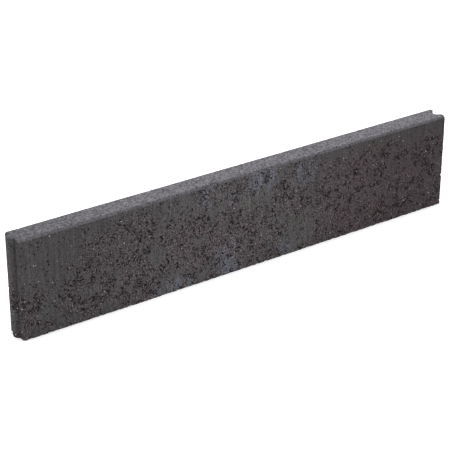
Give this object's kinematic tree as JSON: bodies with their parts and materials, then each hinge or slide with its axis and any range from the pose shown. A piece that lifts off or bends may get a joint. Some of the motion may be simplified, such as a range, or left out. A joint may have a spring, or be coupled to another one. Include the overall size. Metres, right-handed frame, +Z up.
{
  "type": "concrete edging kerb",
  "caption": "Precast concrete edging kerb that stands on its long edge, chamfered along the top, with a tongue on one end and a groove in the other.",
  "frame": {"origin": "centre of the underside of the box round the kerb, which counts the tongue, so it lies halfway between the tongue's nose and the groove's lips", "axes": "+X along the kerb from the tongue end to the groove end, +Y through its thickness from the front face to the rear face, +Z up"},
  "size_m": [1.007, 0.05, 0.2],
  "materials": {
    "core_mix": "matt, demoulded dark pigmented concrete with open pits and upright drag marks",
    "face_mix": "matt, fine-grained pressed concrete with a pale cement bloom"
  },
  "bodies": {
    "root": {"core_mix": "core_mix", "face_mix": "face_mix"}
  },
  "joints": []
}
